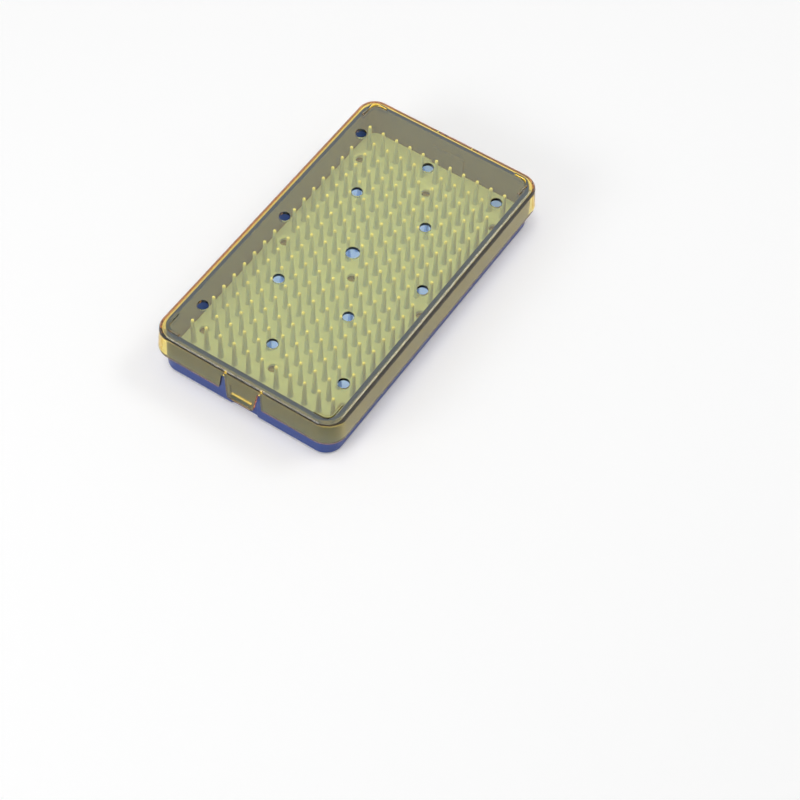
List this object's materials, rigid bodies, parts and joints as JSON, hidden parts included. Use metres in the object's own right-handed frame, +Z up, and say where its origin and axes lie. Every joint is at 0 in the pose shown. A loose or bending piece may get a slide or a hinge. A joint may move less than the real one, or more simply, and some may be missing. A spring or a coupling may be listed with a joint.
{
  "type": "sterilization box",
  "caption": "Low oblong sterilization box for small instruments: pierced tray, soft finger mat and a clear press-fit lid with steam holes and corner stacking ribs.",
  "frame": {"origin": "centre of the closed box's footprint, on the plane that the tray's foot rim stands on", "axes": "+X across the short side, +Y along the long side, +Z up through the lid"},
  "size_m": [0.1082, 0.1928, 0.0292],
  "materials": {
    "tray_plastic": "moulded, half gloss",
    "mat_silicone": "translucent silicone, satin",
    "lid_plastic": "clear amber, polished"
  },
  "bodies": {
    "tray": {"base_tray": "tray_plastic", "finger_mat": "mat_silicone"},
    "lid": {"lid": "lid_plastic"}
  },
  "joints": [
    {"name": "lid_lift", "type": "slide", "parent": "tray", "child": "lid", "axis": [0, 0, 1], "range_m": [0, 0.04]}
  ]
}
